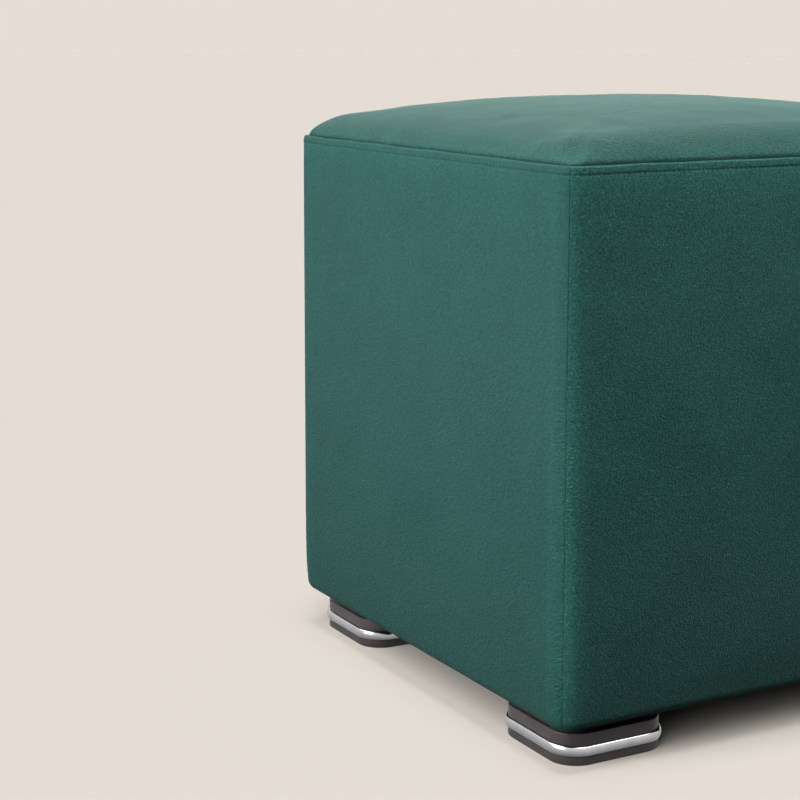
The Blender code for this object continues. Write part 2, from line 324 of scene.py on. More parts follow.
def spunbond(look):
    # Spunbond polypropylene, bonded in a grid of small points: matt black with a quilted dimple.
    material, shader = newMaterial("spunbond polypropylene", **{"Roughness": 0.85, "IOR": 1.49})
    place = addNode(material, "TexCoord", out="Object")
    cells = addNode(material, "TexVoronoi", {
        "Vector": place, "Scale": 1 / look["pitch"], "Randomness": 0.0})
    webs = addNode(material, "TexNoise", {"Vector": place, "Scale": 1 / look["fibreSize"], "Detail": 4.0})
    tone = toned(material, webs, (0.35, 0.65), look["dark"], look["light"])
    dimple = addNode(material, "MapRange", {"Value": cells, "From Min": 0.15, "From Max": 0.35})
    height = addNode(material, "Mix", {0: 0.3, 2: dimple, 3: webs})      # mix of numbers
    bump = addNode(material, "Bump", {"Strength": 1.0, "Distance": look["depth"], "Height": height})
    return feedShader(material, shader, {"Base Color": tone, "Normal": bump})


sideCloth = microfibre("brushed microfibre, sides", sideLook)
frontShadedCloth = microfibre("brushed microfibre, front and back, darker as painted shade", frontShadedLook)
topCloth = microfibre("brushed microfibre, top", topLook)
thread = microfibre("polyester sewing thread", threadLook)
chrome = chromePlate({
    "dull": "#d0d0d1", "bright": "#e0e0e1", "roughness": (0.15, 0.22), "hazeSize": 0.012,
    "buffSize": 0.0012, "buffStretch": (0.3, 0.3, 2.0), "buffDepth": 0.000012})
blockPlastic = mouldedPlastic("moulded ABS", {
    "dark": "#534b4c", "light": "#5f5657", "roughness": (0.30, 0.42), "ior": 1.52,
    "grainSize": 0.0007, "grainDepth": 0.00006, "rubSize": 0.015})
glidePlasticShaded = mouldedPlastic("moulded polyethylene, darker as painted shade", {      # softer and waxier, for the floor; darker than the block as painted shade under the chrome band
    "dark": "#473f40", "light": "#524a4a", "roughness": (0.42, 0.55), "ior": 1.51,
    "grainSize": 0.0007, "grainDepth": 0.00006, "rubSize": 0.015})
baseCloth = spunbond({
    "dark": "#1b1c1d", "light": "#2a2b2c", "pitch": 0.0030, "fibreSize": 0.0012, "depth": 0.0002})
print("materials made")


clothSpec = {"quality": 6, "mass": 0.3, "bending": 0.8, "frames": 20, "cap": 0.0018, "noise": 0.0002}


def settle(name, start, spec):
    # Runs Blender's cloth on rows x columns of points, sewn down at the rim and pushed out by pressure.
    # Gives each point's move, limited smoothly to the cap: move * tanh(length / cap) * cap / length.
    mesh = gridMesh(name, start, loopCols=False)
    mesh.flip_normals()          # the pressure acts along them, outwards
    sheet = addObject(name, mesh)
    sewn = np.ones(start.shape[:2])
    sewn[1:-1, 1:-1] = 0
    sheet.vertex_groups.new(name="sewn").add(np.flatnonzero(sewn).tolist(), 1.0, "REPLACE")
    cloth = sheet.modifiers.new("cloth", "CLOTH")
    settings = cloth.settings
    settings.quality = spec["quality"]
    settings.mass = spec["mass"]
    settings.tension_stiffness = spec["stiffness"]
    settings.compression_stiffness = spec["stiffness"]
    settings.shear_stiffness = spec["stiffness"] / 3
    settings.bending_stiffness = spec["bending"]
    settings.vertex_group_mass = "sewn"
    settings.shrink_min = spec["shrink"]
    settings.use_pressure = True
    settings.uniform_pressure_force = spec["pressure"]
    settings.effector_weights.gravity = 0
    cloth.collision_settings.use_collision = False
    cloth.point_cache.frame_start = 1
    cloth.point_cache.frame_end = spec["frames"]
    for step in range(1, spec["frames"] + 1):
        scene.frame_set(step)
    shown = sheet.evaluated_get(bpy.context.evaluated_depsgraph_get())
    moved = np.empty(len(mesh.vertices) * 3, np.float32)
    shown.data.vertices.foreach_get("co", moved)
    bpy.data.objects.remove(sheet, do_unlink=True)
    bpy.data.meshes.remove(mesh)
    scene.frame_set(1)
    move = moved.reshape(start.shape).astype(float) - start
    length = np.linalg.norm(move, axis=-1, keepdims=True)
    print(name, "cloth moved up to", round(float(length.max()) * 1000, 2), "mm")
    return move * np.tanh(length / spec["cap"]) * spec["cap"] / np.maximum(length, 1e-9)


panel = {
    "thickness": 0.025,
    "bottomRounding": 0.010,     # where the cloth turns under
    "crown": 0.0002,             # drawn swell of the middle, under the simulated one
    "lip": 0.0006,               # radius of the roll into a corner seam
    "seamGap": 0.00025,          # sewn edges lie closer than the solids
    "bandEase": 0.7,             # share by which lip and gap are less within the folded band
    "stitchDepth": 0.00025,      # how deep the topstitching pulls the cloth in
    "stitchWidth": 0.0008,       # of the cloth's dip under the stitches
    "bandProud": 0.00015,        # the band stands out past the face
    "bandMiddle": 0.0015,        # its fullest line over the stitches
    "bandLean": 0.0007,          # how far it leans in above that
    "crestHeight": 0.0018,
    "bandCrest": 0.0028,         # from its fullest line in to its highest
    "bandInside": 0.0014,        # how far it falls behind, into the groove
    "bandDip": 0.0002,           # how much lower its edge is at a corner seam
    "shelf": 0.4150,             # where the top pad lies
    "bandWave": 0.00018, "bandPeriod": 0.016,        # unevenness of the band's upper edge
    "stitchWave": 0.00010, "stitchPeriod": 0.011,    # unevenness of the stitch line
    "pucker": 0.00012,           # pull of each single stitch
    "puckerWidth": 0.0022,       # how far up and down it reaches
    "puckerSpread": 0.35,        # how unequal the stitches are
    "puff": 0.00012, "puffPeriod": 0.013,    # slow swell over the stitches
    "puffBeat": 0.4, "puffRun": 0.002,       # and with each stitch
    "gather": 0.0003, "gatherRun": 0.008,    # how far the stitches draw the face in, and from how low
    "gatherEnd": 0.006,          # height over the stitches where that ends
    "under": 0.0018, "underRun": 0.016,      # how far the face is drawn in at the bottom
    "uneven": 0.00012, "unevenPeriods": (0.045, 0.018),      # slow unevenness of the whole face
    "fade": (12, 8),             # 1 / share of the half width and half height where it fades out
    "napAndShadeSlope": 0.5,          # the nap is this much less raised at the top and more at the bottom, with the colour darker there as painted shade
    "napAndShadeHem": 0.4, "hemRun": 0.012,       # and more again just over the lower edge, with more painted shade
    "rubbedCrest": 0.3, "crestWidth": 0.001,         # the nap is so rubbed along the band's crest
    "cornerLightWidth": 0.0125,       # painted light, full beside a vertical corner's lower end
    "cornerLightShare": 0.22, "cornerLightRun": 0.030,         # and a little further from it
    "paintedLightGather": 0.4, "paintedLightRun": 0.009,         # and painted light so much under the stitches
    "spansPerStitch": 4,
    "faceSpans": 84,
}
panelCloth = dict(clothSpec, stiffness=15, pressure=1.0, shrink=0.001, grid=(65, 63), reach=0.205,
                  lowest=0.008, noisePeriod=0.012)


def panelProfile():
    # Closed section as arrays of depth behind the corner line and height: quarter circle under the
    # face, straight face, dip d * exp(-(w / width)^2) of the stitches, the band as a quarter sine out
    # to its fullest line, a straight lean in, a quarter ellipse over its crest and one down behind it,
    # then the groove's wall, the shelf, the inner wall and the underside.
    low = body["clothBottom"] + panel["bottomRounding"]
    under = np.linspace(0, math.pi / 2, 13)[:-1]
    dipReach = 2.4 * panel["stitchWidth"]
    face = np.linspace(low, body["stitchHeight"] - dipReach, panel["faceSpans"], endpoint=False)
    dip = np.linspace(-dipReach, 0, 9)[:-1]
    belly = np.linspace(0, 1, 12)[:-1]
    lean = np.linspace(0, 1, 5)[:-1]
    turn = np.linspace(0, math.pi / 2, 9)
    bandOut = panel["stitchDepth"] + panel["bandProud"]
    crest = panel["bandCrest"] - panel["bandProud"]
    leaned = panel["bandLean"] - panel["bandProud"]
    straight = body["bandHeight"] - panel["crestHeight"] - panel["bandMiddle"]
    depth = np.concatenate([
        panel["bottomRounding"] * (1 - np.sin(under)),
        np.zeros(len(face)),
        panel["stitchDepth"] * np.exp(-(dip / panel["stitchWidth"]) ** 2),
        panel["stitchDepth"] - bandOut * np.sin(math.pi / 2 * belly),
        panel["bandLean"] * lean - panel["bandProud"],
        (crest - leaned) * (1 - np.cos(turn)) + leaned,
        crest + (body["bandLedge"] - crest) * np.sin(turn[1:]),
        np.full(4, body["bandLedge"]),
        [panel["thickness"], panel["thickness"]]])
    behind = bandTop - panel["bandInside"]
    height = np.concatenate([
        body["clothBottom"] + panel["bottomRounding"] * (1 - np.cos(under)),
        face,
        body["stitchHeight"] + dip,
        body["stitchHeight"] + panel["bandMiddle"] * belly,
        body["stitchHeight"] + panel["bandMiddle"] + straight * lean,
        bandTop - panel["crestHeight"] * (1 - np.sin(turn)),
        behind + panel["bandInside"] * np.cos(turn[1:]),
        np.linspace(behind, panel["shelf"], 5)[1:],
        [panel["shelf"], body["clothBottom"]]])
    return depth, height


def panelStations():
    # Places across a panel as the place of the arc's centre (-1 to 1), the turn of the corner arc, and
    # the length of cloth from the panel's middle.
    steps = body["stitchesPerCorner"] // 2 * panel["spansPerStitch"]
    arc = np.linspace(0, math.pi / 4, steps + 1)[1:]
    rolled = math.pi / 4 - panel["lip"] / body["cornerRadius"] * np.array([0.75, 0.5, 0.3, 0.15, 0.06])
    arc = np.concatenate([arc[arc < rolled[0] - 0.01], rolled, [math.pi / 4]])
    spans = body["stitchesPerSide"] * panel["spansPerStitch"]
    across = np.linspace(-1, 1, spans + 1)
    place = np.concatenate([np.full(len(arc), -1.0), across, np.full(len(arc), 1.0)])
    turn = np.concatenate([-arc[::-1], np.zeros(spans + 1), arc])
    return place, turn, place * straightHalf + turn * body["cornerRadius"]


def panelSurface(seed, swell):
    # Rows over the stations and columns round the section. A point lies at the arc's centre plus
    # (corner radius - depth + lift) along the outward direction; the lift sums the crown
    # c (1 - u^4)(1 - v^4), the gathering g * exp(-distance / run) towards the stitches and towards
    # the bottom, the unevenness, the simulated swell, the stitches' puckers and the roll into the
    # seam, and the band's height wanders. The nap mask falls by a slope from the bottom to the top
    # plus h * exp(-height / run); it deepens the bump, and the colour darkens with it as painted shade
    # towards the bottom. The paling mask sums a bell on the band's crest, for wear, and painted light:
    # the corner's bell and exp(-distance / run), both growing downwards, and an exp(-distance / run)
    # under the stitches.
    depth, height = panelProfile()
    place, turn, along = panelStations()
    shape = len(place), len(depth)
    s, across, z = (np.broadcast_to(v, shape) for v in (along[:, None], place[:, None], height))
    outside = depth < body["bandLedge"] + 1e-6
    low = body["clothBottom"] + panel["bottomRounding"]
    onFace = (depth <= body["bandLedge"] - 1e-4) | ((height < low) & (depth < panel["thickness"] - 1e-4))
    up = np.clip((z - low) / (body["stitchHeight"] - low), 0, 1) * 2 - 1
    crown = panel["crown"] * (1 - across ** 4) * (1 - up ** 4)
    fade = softRamp((1 - np.abs(across)) * panel["fade"][0]) * softRamp((1 - np.abs(up)) * panel["fade"][1])
    longPeriod, shortPeriod = panel["unevenPeriods"]
    uneven = softField(s, z, longPeriod, seed) + 0.6 * softField(s, z, shortPeriod, seed + 1)
    over = z - body["stitchHeight"]
    gather = panel["gather"] * np.exp(np.minimum(over, 0) / panel["gatherRun"])
    gather = gather * (1 - softRamp(over / panel["gatherEnd"]))
    gather = gather + panel["under"] * np.exp(-np.maximum(z - low, 0) / panel["underRun"])
    nearStitch = np.exp(-(over / panel["puckerWidth"]) ** 2)
    beat = np.cos(2 * math.pi * along / stitchPitch)[:, None]
    pull = 1 + panel["puckerSpread"] * wander(along, 2 * stitchPitch, seed + 2)[:, None]
    pull = panel["pucker"] * pull * beat
    puff = panel["puff"] * wander(along, panel["puffPeriod"], seed + 3)[:, None]
    puff = puff - panel["puffBeat"] * pull
    aboveStitch = softRamp(over / panel["puffRun"])
    slow = fade * (panel["uneven"] * uneven + swell(s, z))
    lift = onFace * (crown - gather + slow - pull * nearStitch + puff * aboveStitch)
    fromSeam = (math.pi / 4 - np.abs(turn)) * body["cornerRadius"]
    roll = np.clip(1 - fromSeam / panel["lip"], 0, 1)[:, None]
    onBand = softRamp(over / body["bandHeight"]) * outside
    ease = 1 - panel["bandEase"] * onBand
    lift = lift - outside * ease * panel["lip"] * (1 - np.sqrt(1 - roll ** 2))
    wave = panel["bandWave"] * wander(along, panel["bandPeriod"], seed + 4)[:, None]
    z = z + onBand * (wave - panel["bandDip"] * roll)
    wave = panel["stitchWave"] * wander(along, panel["stitchPeriod"], seed + 5)[:, None]
    z = z + onFace * nearStitch * wave
    radius = body["cornerRadius"] - depth + lift
    atSeam = np.where(np.abs(turn) >= math.pi / 4 - 1e-9, -np.sign(turn), 0)[:, None]
    gap = atSeam * ease * panel["seamGap"] / math.sqrt(2)
    x = place[:, None] * straightHalf + radius * np.sin(turn)[:, None] + gap
    y = -straightHalf - radius * np.cos(turn)[:, None]
    inside = depth >= panel["thickness"] - 1e-6
    innerHalf = body["cornerHalf"] - panel["thickness"]
    x = np.where(inside, innerHalf * (along / along[-1])[:, None] + gap, x)
    y = np.where(inside, -innerHalf, y)
    clothUp = np.concatenate([[0], np.cumsum(np.hypot(np.diff(depth), np.diff(height)))])
    coord = np.stack([s, np.broadcast_to(clothUp, shape), np.full(shape, 0.37 * seed)], -1)
    # painted shade: the nap mask rises towards the bottom, and above 1 the colour darkens
    napAndPaintedShade = 1 - panel["napAndShadeSlope"] * up
    napAndPaintedShade = napAndPaintedShade + panel["napAndShadeHem"] * np.exp(-np.maximum(z - low, 0) / panel["hemRun"])
    fromCrest = z - bandTop + panel["crestWidth"]
    crest = panel["rubbedCrest"] * np.exp(-(fromCrest / panel["crestWidth"]) ** 2)
    # painted light beside each vertical corner, growing downwards
    fromCorner = along[-1] - np.abs(along)
    corner = np.exp(-(fromCorner / panel["cornerLightWidth"]) ** 2)
    corner = corner + panel["cornerLightShare"] * np.exp(-fromCorner / panel["cornerLightRun"])
    corner = corner[:, None] * (1 - up) / 2
    # painted light under the stitches
    paintedLightUnderStitches = panel["paintedLightGather"] * np.exp(np.minimum(over, 0) / panel["paintedLightRun"])
    wearAndPaintedLight = onFace * np.clip(crest + corner + paintedLightUnderStitches * (1 - aboveStitch), 0, 1)
    return np.stack([x, y, z], -1), {"clothCoord": coord, "wearAndPaintedLight": wearAndPaintedLight, "napAndPaintedShade": napAndPaintedShade}


def panelSwell(seed):
    # simulated swell of one side, on a coarse grid, as a function of length across and height
    acrossCount, upCount = panelCloth["grid"]
    knots = np.linspace(-panelCloth["reach"], panelCloth["reach"], acrossCount)
    levels = np.linspace(body["clothBottom"] + panelCloth["lowest"], body["stitchHeight"], upCount)
    x, z = np.meshgrid(knots, levels, indexing="ij")
    noise = panelCloth["noise"] * softField(x, z, panelCloth["noisePeriod"], seed + 6)
    move = settle("sideCloth", np.stack([x, noise, z], -1), panelCloth)
    return lambda s, z: -readGrid(move[..., 1], knots, levels, s, z)


sides = {"front": 0, "right": 90, "back": 180, "left": 270}      # angle that each is turned by
for number, (side, angle) in enumerate(sides.items()):
    seed = 10 * number + 3
    points, extras = panelSurface(seed, panelSwell(seed))
    mesh = gridMesh("side cloth " + side, turnAboutUp(points, angle * degree), caps="n", extras=extras)
    cloth = frontShadedCloth if side in ("front", "back") else sideCloth
    piece = showPiece("sidePanel" + side.capitalize(), mesh, cloth,
                      ["side_panel_" + side], sharp=50 * degree)
print("side panels made")


pad = {
    "seat": panel["shelf"] + body["clearance"],
    "rim": 0.4334,               # height where its crown starts, level with the band's top
    "rounding": 0.0018,          # of the edge on the shelf
    "tuckIn": 0.0007,            # how far the cloth rolls in under its edge to the seam
    "tuckHeight": 0.0017, "tuckFrom": 0.0008,
    "grooveShadeLine": 0.4326, "grooveShadeFade": 0.0014,      # below it the cloth is painted dark as shade in the groove, with no painted light
    "shoulderHeight": 0.0171, "shoulderRun": 0.035, "shoulderPower": 2.05,
    "domeHeight": 0.0176, "domePower": 2.6,
    "rimBlend": 12,              # keeps the rim level round the rounded corners
    "rings": 120, "ringPower": 2.2,          # above 1 it crowds the rings towards the rim
    "cornerSpans": 12, "sideSpans": 150,
    "uneven": 0.00020, "unevenPeriods": (0.050, 0.020),
    "easeIn": 0.012,             # from the rim to where unevenness and simulated swell are full
    "pull": 0.00020,             # small tucks where the seam pulls the cloth in
    "pullPeriod": 0.014, "pullRun": 0.010,
    "seed": 70,
}
pad["half"] = body["cornerHalf"] - body["bandLedge"] - body["clearance"]
pad["corner"] = body["cornerRadius"] - body["bandLedge"] - body["clearance"]
padCloth = dict(clothSpec, stiffness=40, pressure=0.6, shrink=0.0, grid=81, startHeight=0.95,
                noisePeriod=0.014)

crease = {"width": 0.0022, "ridge": 0.5, "ridgeWidth": 0.003, "ridgeFrom": 0.0035, "bend": 0.08}
# faint creases in the top, pressed in from use: middle x and y, direction in degrees, length, depth
creases = ((-0.150, -0.040, 62, 0.050, 0.00025), (-0.105, -0.118, 15, 0.060, 0.00025),
           (0.020, -0.090, -28, 0.045, 0.00022), (-0.060, 0.020, 80, 0.070, 0.00018),
           (0.085, 0.050, 20, 0.060, 0.00018))


def roundedSquare(half, radius, cornerSpans, sideSpans):
    # outline of a square with arc corners, anticlockwise, as an array of points
    straight = half - radius
    arc = np.linspace(0, math.pi / 2, cornerSpans + 1)
    run = np.linspace(straight, -straight, sideSpans + 1)[1:-1]
    corner = np.stack([straight + radius * np.cos(arc), straight + radius * np.sin(arc)], -1)
    side = np.stack([run, np.full(len(run), half)], -1)
    quarter = np.concatenate([corner, side])
    turns = np.array([[[1, 0], [0, 1]], [[0, 1], [-1, 0]], [[-1, 0], [0, -1]], [[0, -1], [1, 0]]])
    return np.concatenate(quarter @ turns)


def shoulder(distance):
    # 0 at the edge, 1 at the end of the run: (1 - (1 - d/run)^p)^(1/p)
    left = 1 - np.clip(distance / pad["shoulderRun"], 0, 1)
    return (1 - left ** pad["shoulderPower"]) ** (1 / pad["shoulderPower"])


def crownHeight(x, y):
    # product of both pairs of shoulders plus the dome (1 - |u|^p)(1 - |v|^p)
    u = np.minimum(np.abs(x) / pad["half"], 1)
    v = np.minimum(np.abs(y) / pad["half"], 1)
    rise = pad["shoulderHeight"] * shoulder(pad["half"] - np.abs(x)) * shoulder(pad["half"] - np.abs(y))
    return rise + pad["domeHeight"] * (1 - u ** pad["domePower"]) * (1 - v ** pad["domePower"])


def troughs(x, y):
    # sum of soft troughs: a bell across each crease less a ridge's beside it, times a bell along it
    total = np.zeros_like(x)
    for middleX, middleY, angle, length, deep in creases:
        c, s = math.cos(angle * degree), math.sin(angle * degree)
        along = (x - middleX) * c + (y - middleY) * s
        across = (y - middleY) * c - (x - middleX) * s - crease["bend"] * along ** 2 / length
        bell = np.exp(-(across / crease["width"]) ** 2)
        bell -= crease["ridge"] * np.exp(-((across - crease["ridgeFrom"]) / crease["ridgeWidth"]) ** 2)
        total -= deep * bell * np.exp(-(along / (0.5 * length)) ** 4)
    return total


def padSwell():
    # simulated swell of the top, on a coarse grid from a lower crown, as a function of x and y
    knots = np.linspace(-pad["half"], pad["half"], padCloth["grid"])
    x, y = np.meshgrid(knots, knots, indexing="ij")
    noise = padCloth["noise"] * softField(x, y, padCloth["noisePeriod"], pad["seed"] + 21)
    start = np.stack([x, y, padCloth["startHeight"] * crownHeight(x, y) + noise], -1)
    move = settle("topCloth", start, padCloth)
    return lambda x, y: np.stack([readGrid(move[..., k], knots, knots, x, y) for k in range(3)], -1)


def padSurface():
    # Rows from the underside's middle, out and up the wall, then rings of the rounded outline scaled
    # towards the middle at the crown's height; columns go round. Near the rim the cloth rolls in by
    # t * exp(-((z - groove) / h)^2) over the groove, and by t below it. The paling mask, painted light,
    # is (1 - product of the shoulders)^1.5, paler towards the shoulders, and none in the groove, where
    # the nap mask is raised so that the colour is painted dark as shade.
    spans = pad["cornerSpans"], pad["sideSpans"]
    outline = roundedSquare(pad["half"], pad["corner"], *spans)
    under = roundedSquare(pad["half"] - pad["rounding"], pad["corner"] - pad["rounding"], *spans)
    step = np.linspace(0, 1, pad["rings"] + 1)[:-1]
    ring = (1 - step ** pad["ringPower"])[:, None]
    x, y = ring * outline[:, 0], ring * outline[:, 1]
    level = crownHeight(x, y) - crownHeight(outline[:, 0], outline[:, 1]) * ring ** pad["rimBlend"]
    fromEdge = (1 - ring) * pad["half"]
    inward = softRamp(fromEdge / pad["easeIn"])
    longPeriod, shortPeriod = pad["unevenPeriods"]
    uneven = softField(x, y, longPeriod, pad["seed"] + 1)
    uneven = pad["uneven"] * (uneven + 0.5 * softField(x, y, shortPeriod, pad["seed"] + 2))
    around = np.cumsum(np.hypot(*(outline - np.roll(outline, 1, 0)).T))
    tuck = pad["pull"] * np.clip(wander(around, pad["pullPeriod"], pad["seed"] + 3), 0, 3)
    tuck = tuck * np.exp(-(fromEdge / pad["pullRun"]) ** 2) * softRamp(fromEdge / 0.002)
    top = np.stack([x, y, pad["rim"] + level + uneven * inward + troughs(x, y) - tuck], -1)
    top = top + padSwell()(x, y) * inward[..., None]

    rows = []
    for share in (0.25, 0.5, 0.75, 0.97):
        rows.append(np.column_stack([under * share, np.full(len(under), pad["seat"])]))
    for turn in np.linspace(0, math.pi / 2, 5):
        lift = pad["rounding"] * (1 - math.cos(turn))
        rows.append(np.column_stack([under + (outline - under) * math.sin(turn),
                                     np.full(len(outline), pad["seat"] + lift)]))
    wall = pad["rim"] - pad["seat"] - pad["rounding"]
    for share in (0.25, 0.5, 0.7, 0.8, 0.9):
        rows.append(np.column_stack([outline, np.full(len(outline), pad["rim"] - wall * (1 - share))]))
    points = np.concatenate([np.array(rows), top])
    fromGroove = np.clip(points[..., 2] - pad["rim"] + pad["tuckFrom"], 0, 1)
    rolledIn = np.exp(-(fromGroove / pad["tuckHeight"]) ** 2)
    atWall = softRamp((points[..., 2] - pad["seat"] - pad["rounding"]) / (0.4 * wall))
    points[..., :2] *= 1 - (pad["tuckIn"] / pad["half"] * rolledIn * atWall)[..., None]
    coord = points + np.array([0, 0, 4.2])       # another part of the noise than the sides have
    fromSides = pad["half"] - np.abs(points[..., :2])
    # painted light: the top is paler towards its shoulders
    wearAndPaintedLight = (1 - shoulder(fromSides[..., 0]) * shoulder(fromSides[..., 1])) ** 1.5
    # painted shade: the groove's cloth darkens
    grooveShade = 1 - softRamp((points[..., 2] - pad["grooveShadeLine"]) / pad["grooveShadeFade"])
    return points, {"clothCoord": coord, "wearAndPaintedLight": wearAndPaintedLight * (1 - grooveShade), "napAndPaintedShade": 1 + 0.9 * grooveShade}


points, extras = padSurface()
mesh = gridMesh("top cloth", points, caps="p", extras=extras)
topPiece = showPiece("topPad", mesh, topCloth, ["top_pad"])
print("top pad made")


stitch = {
    "length": 0.0030, "radius": 0.00026,
    "sink": 0.00042,             # of its middle under the panel's face
    "dip": 0.0003,               # of its ends under its middle
    "slip": 0.00012, "tilt": 0.05, "rise": 0.00005,      # spread of place, slope and height
    "around": 8, "rings": 6, "seed": 57,
}


def stitching():
    # Each stitch is a slim egg: radius r * sqrt(1 - t^2) along t from -1 to 1, bent so that its ends dip.
    t = np.sin(np.linspace(-math.pi / 2, math.pi / 2, stitch["rings"] + 2))[1:-1]
    turn = np.linspace(0, 2 * math.pi, stitch["around"], endpoint=False)
    girth = stitch["radius"] * np.sqrt(1 - t ** 2)
    along = 0.5 * stitch["length"] * t[:, None]
    out = girth[:, None] * np.cos(turn) - stitch["dip"] * (t ** 2)[:, None]
    up = girth[:, None] * np.sin(turn)
    count = body["stitchesPerSide"] + body["stitchesPerCorner"]
    place = (np.arange(count) + 0.5) * stitchPitch - count * stitchPitch / 2
    rng = np.random.default_rng(stitch["seed"])
    pieces = []
    for angle in sides.values():
        slip, tilt, rise = (rng.normal(0, stitch[key], (count, 1, 1)) for key in ("slip", "tilt", "rise"))
        s = place[:, None, None] + along + slip
        height = body["stitchHeight"] + up + tilt * along + rise
        arc = np.clip(np.abs(s) - straightHalf, 0, None) / body["cornerRadius"] * np.sign(s)
        radius = body["cornerRadius"] - stitch["sink"] + out
        x = np.clip(s, -straightHalf, straightHalf) + radius * np.sin(arc)
        y = -straightHalf - radius * np.cos(arc)
        pieces.append(turnAboutUp(np.stack(np.broadcast_arrays(x, y, height), -1), angle * degree))
    return np.concatenate(pieces)


def manyShells(name, shells):
    # many closed tubes of rows x columns joined in one mesh, their ends closed with one face each
    count, rows, cols = shells.shape[:3]
    offsets = np.arange(count)[:, None] * rows * cols
    faces = (gridQuads(rows, cols) + offsets[..., None]).reshape(-1, 4).tolist()
    for end in (np.arange(cols)[::-1], np.arange(cols) + (rows - 1) * cols):
        faces += (end + offsets).tolist()
    mesh = bpy.data.meshes.new(name)
    mesh.from_pydata(shells.reshape(-1, 3).tolist(), [], faces)
    coord = mesh.attributes.new("clothCoord", "FLOAT_VECTOR", "POINT")
    coord.data.foreach_set("vector", shells.astype(np.float32).reshape(-1))
    for key, level in (("wearAndPaintedLight", 0.2), ("napAndPaintedShade", 1.0)):
        mesh.attributes.new(key, "FLOAT", "POINT").data.foreach_set(
            "value", np.full(count * rows * cols, level, np.float32))
    mesh.shade_smooth()
    return mesh


showPiece("topStitching", manyShells("stitches", stitching()), thread)
print("stitches made")


foot = {
    "width": 0.092, "corner": 0.021, "inset": 0.0142,
    "glideHeight": 0.0066, "glideEdge": 0.0009,
    "chromeHeight": 0.0080, "chromeBulge": 0.0022,
    "stemInset": 0.0030, "blockHeight": 0.0082, "blockBevel": 0.0008, "neckInset": 0.0120,
    "edge": 0.0003,              # radius of the small rounded edges
    "capInset": 0.004, "neckEase": 0.0002,   # rings of faces at each flat end and at the neck's foot
    "cornerSpans": 20, "sideSpans": 6,
}
foot["centre"] = body["cornerHalf"] - foot["inset"] - foot["width"] / 2


def roundedCorner(fromTurn, toTurn, middleZ, middleOut, radius, spans=4):
    # arc of a profile as (height, outside) pairs; 0 points outwards and 90 up
    turn = np.linspace(fromTurn, toTurn, spans + 1) * degree
    return np.stack([middleZ + radius * np.sin(turn), middleOut + radius * np.cos(turn)], -1)


def footRows(profile):
    # rounded squares stacked by height, each moved out by its own amount
    rows = []
    for z, outside in profile:
        outline = roundedSquare(foot["width"] / 2 + outside, foot["corner"] + outside,
                                foot["cornerSpans"], foot["sideSpans"])
        rows.append(np.column_stack([outline, np.full(len(outline), z)]))
    return np.array(rows)


def glideProfile():
    # flat below, with a quarter circle at the lower edge and a small one at the upper
    e, top, r, cap = foot["glideEdge"], foot["glideHeight"], foot["edge"], foot["capInset"]
    return np.concatenate([
        [[0, -e - cap]], roundedCorner(-90, 0, e, -e, e), roundedCorner(0, 90, top - r, -r, r, 3),
        [[top, -cap]]])


def chromeProfile():
    # half ellipse outside, straight wall inside
    low = foot["glideHeight"] + body["clearance"]
    half = foot["chromeHeight"] / 2
    inside = body["clearance"] - foot["stemInset"]
    turn = np.linspace(-90, 90, 25) * degree
    bulge = np.stack([low + half + half * np.sin(turn), foot["chromeBulge"] * np.cos(turn)], -1)
    return np.concatenate([[[low, inside]], bulge, [[low + 2 * half, inside]]])


def blockProfile():
    # stem through the chrome band, wall with small rounded edges, ledge and neck up to the base
    stem = foot["glideHeight"] + body["clearance"]
    low = stem + foot["chromeHeight"] + body["clearance"]
    high = low + foot["blockHeight"]
    ledge = high + foot["blockBevel"]
    inside, neck, r, cap = foot["stemInset"], foot["neckInset"], foot["edge"], foot["capInset"]
    top = body["baseBottom"] - body["clearance"]
    return np.concatenate([
        [[stem, -inside - cap], [stem, -inside], [low, -inside]],
        roundedCorner(-90, 0, low + r, -r, r, 3),
        roundedCorner(0, 90, high, -foot["blockBevel"], foot["blockBevel"], 4),
        [[ledge, foot["neckEase"] - neck], [ledge + r, -neck], [top, -neck], [top, -neck - cap]]])


corners = {"front_left": (-1, -1), "front_right": (1, -1), "back_right": (1, 1), "back_left": (-1, 1)}
for corner, (sideX, sideY) in corners.items():
    place = np.array([sideX * foot["centre"], sideY * foot["centre"], 0])
    name = "foot" + corner.title().replace("_", "")
    for part, profile, material, slotName, closed in (
            ("Block", blockProfile(), blockPlastic, "foot_plastic", False),
            ("Band", chromeProfile(), chrome, "foot_chrome", True),
            ("Glide", glideProfile(), glidePlasticShaded, "foot_plastic", False)):
        mesh = gridMesh(name + part, footRows(profile) + place, loopRows=closed, caps="" if closed else "n")
        showPiece(name + part, mesh, material,
                  ["foot_" + corner + "_" + part.lower()], sharp=40 * degree)
print("feet made")

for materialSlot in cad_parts["base_panel"].material_slots:
    materialSlot.material = baseCloth


camera = {
    "place": (-0.9231, -1.2710, 0.5279),
    "yaw": 0.5037, "pitch": 0.1468, "roll": -0.0015,     # radians; pitch is downwards
    "focalPixels": 1901.3, "imagePixels": 800, "sensor": 36.0,
    "shiftDown": -0.12,          # share of the picture's width
}
yaw, pitch, roll = (camera[key] for key in ("yaw", "pitch", "roll"))
forward = Vector((math.sin(yaw) * math.cos(pitch), math.cos(yaw) * math.cos(pitch), -math.sin(pitch)))
level = Vector((math.cos(yaw), -math.sin(yaw), 0))
down = forward.cross(level)
right = math.cos(roll) * level + math.sin(roll) * down
down = -math.sin(roll) * level + math.cos(roll) * down
lensData = bpy.data.cameras.new("camera")
lensData.sensor_width = camera["sensor"]
lensData.lens = camera["focalPixels"] / camera["imagePixels"] * camera["sensor"]
lensData.shift_y = camera["shiftDown"]
cameraObject = addObject("camera", lensData)
